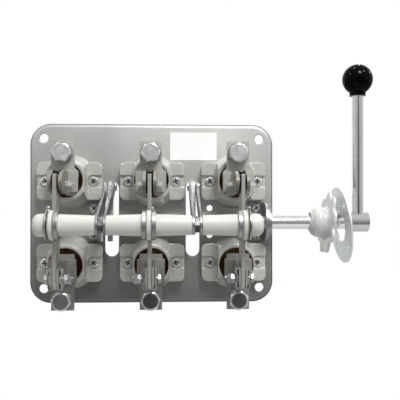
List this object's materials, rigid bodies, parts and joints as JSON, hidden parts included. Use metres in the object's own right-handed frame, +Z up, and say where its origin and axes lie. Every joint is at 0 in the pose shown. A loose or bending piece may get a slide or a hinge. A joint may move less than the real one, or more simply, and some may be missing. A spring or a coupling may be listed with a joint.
{
  "type": "knife switch",
  "caption": "Open knife switch on a pan plate: blades on a white crossbar swing out of their jaws, driven by a side lever through a shaft, cranks and links.",
  "frame": {"origin": "middle of the four fixing holes, on the wall plane that the pan plate's back edge rests on", "axes": "+X right along the shaft towards the handle, +Z up, +Y into the wall, so the viewer is at -Y"},
  "size_m": [0.3634, 0.1415, 0.2538],
  "materials": {
    "base_plate": "grey paint, dulled",
    "insulator_top_left": "moulded, semi-gloss",
    "insulator_top_mid": "moulded, semi-gloss",
    "insulator_top_right": "moulded, semi-gloss",
    "insulator_bottom_left": "moulded, semi-gloss",
    "insulator_bottom_mid": "moulded, semi-gloss",
    "insulator_bottom_right": "moulded, semi-gloss",
    "insulator_screws": "zinc plated",
    "jaw_contact_left": "tin plated copper",
    "jaw_contact_mid": "tin plated copper",
    "jaw_contact_right": "tin plated copper",
    "jaw_springs": "zinc plated",
    "hinge_contact_left": "tin plated copper",
    "hinge_contact_mid": "tin plated copper",
    "hinge_contact_right": "tin plated copper",
    "hinge_springs": "zinc plated",
    "hinge_bolts": "zinc plated",
    "terminal_bolts": "dull plated steel",
    "terminal_washers": "zinc plated",
    "bracket_left": "zinc plated",
    "bracket_right": "zinc plated",
    "bracket_screws": "zinc plated",
    "panel_bushing": "milky white plastic",
    "panel_disc": "plated sheet",
    "drive_shaft": "bright plated",
    "shaft_collars": "zinc plated",
    "crank_left": "zinc plated",
    "crank_right": "zinc plated",
    "crank_pins": "zinc plated",
    "handle_hub": "bright plated",
    "handle_rod": "bright plated",
    "handle_knob": "polished black",
    "blade_left": "tin plated copper",
    "blade_mid": "tin plated copper",
    "blade_right": "tin plated copper",
    "lug_rings": "white moulded",
    "tie_bar": "zinc plated",
    "tie_sleeves": "white moulded",
    "tie_end_caps": "white moulded",
    "tie_washers": "zinc plated",
    "tie_nuts": "zinc plated",
    "link_left": "zinc plated",
    "link_right": "zinc plated"
  },
  "bodies": {
    "frame": {"base_plate": "base_plate", "insulator_top_left": "insulator_top_left", "insulator_top_mid": "insulator_top_mid", "insulator_top_right": "insulator_top_right", "insulator_bottom_left": "insulator_bottom_left", "insulator_bottom_mid": "insulator_bottom_mid", "insulator_bottom_right": "insulator_bottom_right", "insulator_screws": "insulator_screws", "jaw_contact_left": "jaw_contact_left", "jaw_contact_mid": "jaw_contact_mid", "jaw_contact_right": "jaw_contact_right", "jaw_springs": "jaw_springs", "hinge_contact_left": "hinge_contact_left", "hinge_contact_mid": "hinge_contact_mid", "hinge_contact_right": "hinge_contact_right", "hinge_springs": "hinge_springs", "hinge_bolts": "hinge_bolts", "terminal_bolts": "terminal_bolts", "terminal_washers": "terminal_washers", "bracket_left": "bracket_left", "bracket_right": "bracket_right", "bracket_screws": "bracket_screws", "panel_bushing": "panel_bushing", "panel_disc": "panel_disc"},
    "handle": {"drive_shaft": "drive_shaft", "shaft_collars": "shaft_collars", "crank_left": "crank_left", "crank_right": "crank_right", "crank_pins": "crank_pins", "handle_hub": "handle_hub", "handle_rod": "handle_rod", "handle_knob": "handle_knob"},
    "blades": {"blade_left": "blade_left", "blade_mid": "blade_mid", "blade_right": "blade_right", "lug_rings": "lug_rings", "tie_bar": "tie_bar", "tie_sleeves": "tie_sleeves", "tie_end_caps": "tie_end_caps", "tie_washers": "tie_washers", "tie_nuts": "tie_nuts"},
    "links": {"link_left": "link_left", "link_right": "link_right"}
  },
  "joints": [
    {"name": "handle_turn", "type": "hinge", "parent": "frame", "child": "handle", "pos_m": [0, -0.041, -0.009], "axis": [1, 0, 0], "range_deg": [0, 90]},
    {"name": "blade_swing", "type": "hinge", "parent": "frame", "child": "blades", "pos_m": [0, -0.11, -0.059], "axis": [1, 0, 0], "range_deg": [0, 64.58]},
    {"name": "link_pivot", "type": "hinge", "parent": "handle", "child": "links", "pos_m": [0, -0.038, 0.028], "axis": [1, 0, 0], "range_deg": [-81.61, 0]}
  ],
  "couplings": [
    {"joint": "blade_swing", "follows": "handle_turn", "ratio": 0.7175},
    {"joint": "link_pivot", "follows": "handle_turn", "ratio": -0.9067}
  ]
}
